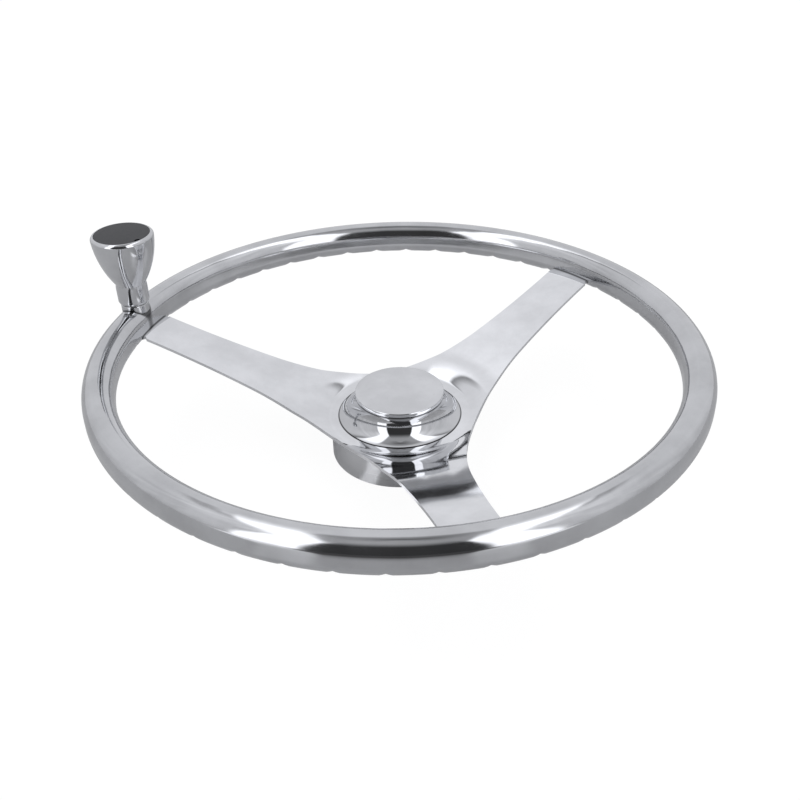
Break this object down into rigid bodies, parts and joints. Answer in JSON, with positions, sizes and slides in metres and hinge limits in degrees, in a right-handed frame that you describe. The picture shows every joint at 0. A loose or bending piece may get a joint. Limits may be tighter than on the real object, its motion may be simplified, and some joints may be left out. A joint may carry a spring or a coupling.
{
  "type": "boat steering wheel",
  "caption": "Polished stainless dished steering wheel with finger grips under the rim, pressed spoke plate, cove-sided centre cap and a spinner knob.",
  "frame": {"origin": "centre of the hub's flat base, on the steering shaft's axis", "axes": "+Z along the shaft's axis towards the helmsman, with one arm along -Y and the knob near the arm at 150 degrees"},
  "size_m": [0.394, 0.394, 0.1378],
  "materials": {
    "polished_steel": "mirror-polished stainless steel",
    "brushed_skirt": "satin turned stainless steel",
    "cast_hub": "as-cast and machined marine alloy",
    "weld_metal": "dressed weld",
    "fastener_steel": "bright stainless fasteners",
    "seal_rubber": "black rubber",
    "socket_nylon": "moulded black nylon",
    "bush_acetal": "natural acetal",
    "black_inlay": "smooth black plastic, slightly glossy"
  },
  "bodies": {
    "wheel": {"rim": "polished_steel", "spoke_plate": "polished_steel", "arm_welds": "weld_metal", "hub_core": "cast_hub", "hub_skirt": "brushed_skirt", "hub_screws": "fastener_steel", "cap_disc": "polished_steel", "cap_cove": "polished_steel", "cap_socket": "socket_nylon", "neck_seal": "seal_rubber", "knob_collar": "polished_steel", "knob_stud": "fastener_steel", "knob_thrust_washer": "bush_acetal", "knob_top_washer": "fastener_steel", "knob_nut": "fastener_steel"},
    "knob": {"knob_body": "polished_steel", "knob_inlay": "black_inlay", "knob_lower_bush": "bush_acetal", "knob_upper_bush": "bush_acetal"}
  },
  "joints": [
    {"name": "knob_spin", "type": "hinge", "parent": "wheel", "child": "knob", "pos_m": [-0.1639, 0.09085, 0.0885], "axis": [0, 0, 1], "continuous": true}
  ]
}
